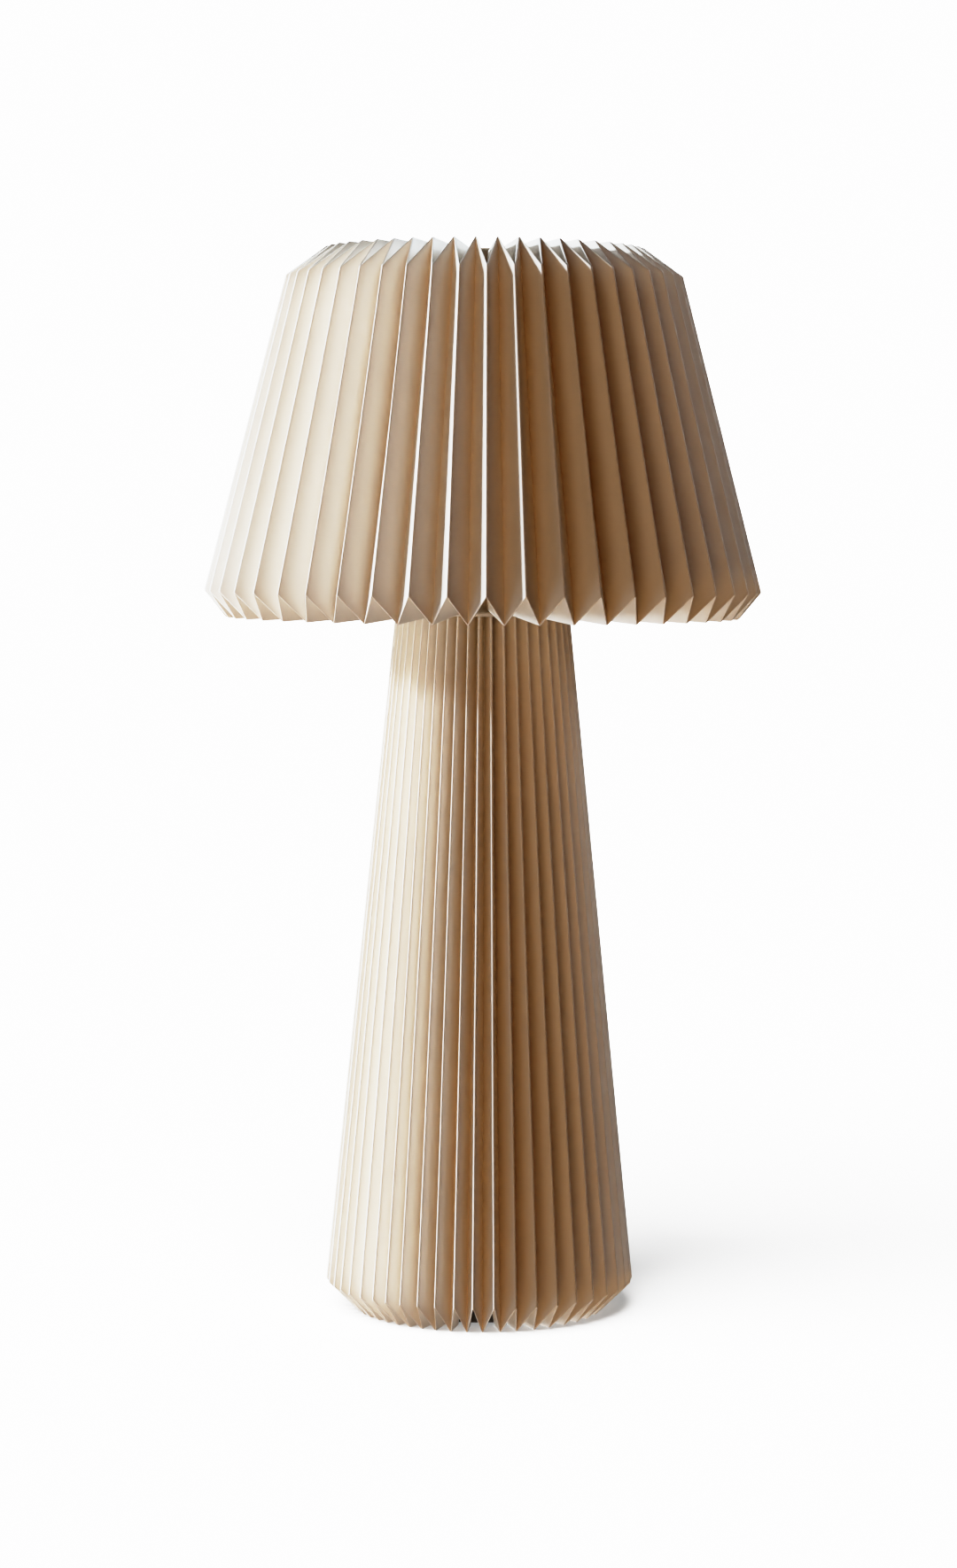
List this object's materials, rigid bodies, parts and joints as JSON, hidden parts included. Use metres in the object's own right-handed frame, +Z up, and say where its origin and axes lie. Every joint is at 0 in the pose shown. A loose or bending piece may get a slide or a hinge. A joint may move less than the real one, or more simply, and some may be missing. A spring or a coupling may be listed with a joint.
{
  "type": "pleated table lamp",
  "caption": "Free-standing table lamp with a tapered foot and a lift-off shade, both folded from foil into sharp pleats.",
  "frame": {"origin": "centre of the base where it stands on the table", "axes": "+Z up along the lamp's axis, -Y towards the viewer, cord inlet at +Y"},
  "size_m": [0.3014, 0.3014, 0.5699],
  "materials": {
    "felt": "pressed felt",
    "cast_weight": "rough cast, black",
    "black_rubber": "moulded, matt",
    "zinc_steel": "zinc plated",
    "white_plate": "powder coated",
    "shade_foil": "satin shade foil, folded",
    "holder_plastic": "moulded",
    "holder_ceramic": "ceramic, matt",
    "contact_brass": "stamped strip",
    "ring_plastic": "moulded, satin",
    "opal_globe": "opal diffuser",
    "light_board": "white board",
    "bulb_plastic": "moulded",
    "nickel_cap": "nickel plated",
    "black_insulator": "glassy black"
  },
  "bodies": {
    "base": {"base_felt": "felt", "base_weight": "cast_weight", "cable_bush": "black_rubber", "stem_tube": "zinc_steel", "stem_nuts": "zinc_steel", "stem_washers": "zinc_steel", "foot_top_plate": "white_plate", "pleated_foot": "shade_foil", "lampholder_cap": "holder_plastic", "lampholder_insert": "holder_ceramic", "lampholder_sleeve": "holder_plastic", "lampholder_centre_contact": "contact_brass", "lampholder_side_contact": "contact_brass", "terminal_screws": "contact_brass"},
    "shade_carrier": {"shade_lower_ring": "ring_plastic"},
    "shade": {"pleated_shade_left": "shade_foil", "pleated_shade_front": "shade_foil", "pleated_shade_right": "shade_foil", "shade_upper_ring": "ring_plastic"},
    "bulb_foot": {"bulb_tip_contact": "nickel_cap"},
    "bulb": {"bulb_globe": "opal_globe", "bulb_light_board": "light_board", "bulb_housing": "bulb_plastic", "bulb_screw_cap": "nickel_cap", "bulb_insulator": "black_insulator"}
  },
  "joints": [
    {"name": "shade_lift", "type": "slide", "parent": "base", "child": "shade_carrier", "axis": [0, 0, 1], "range_m": [0, 0.16]},
    {"name": "shade_turn", "type": "hinge", "parent": "shade_carrier", "child": "shade", "pos_m": [0, 0, 0.374], "axis": [0, 0, 1], "continuous": true},
    {"name": "bulb_rise", "type": "slide", "parent": "base", "child": "bulb_foot", "axis": [0, 0, 1], "range_m": [0, 0.01634]},
    {"name": "bulb_turn", "type": "hinge", "parent": "bulb_foot", "child": "bulb", "pos_m": [0, 0, 0.43], "axis": [0, 0, 1], "range_deg": [0, 1620]}
  ],
  "couplings": [
    {"joint": "bulb_rise", "follows": "bulb_turn", "m_per_rad": 0.00057757}
  ]
}
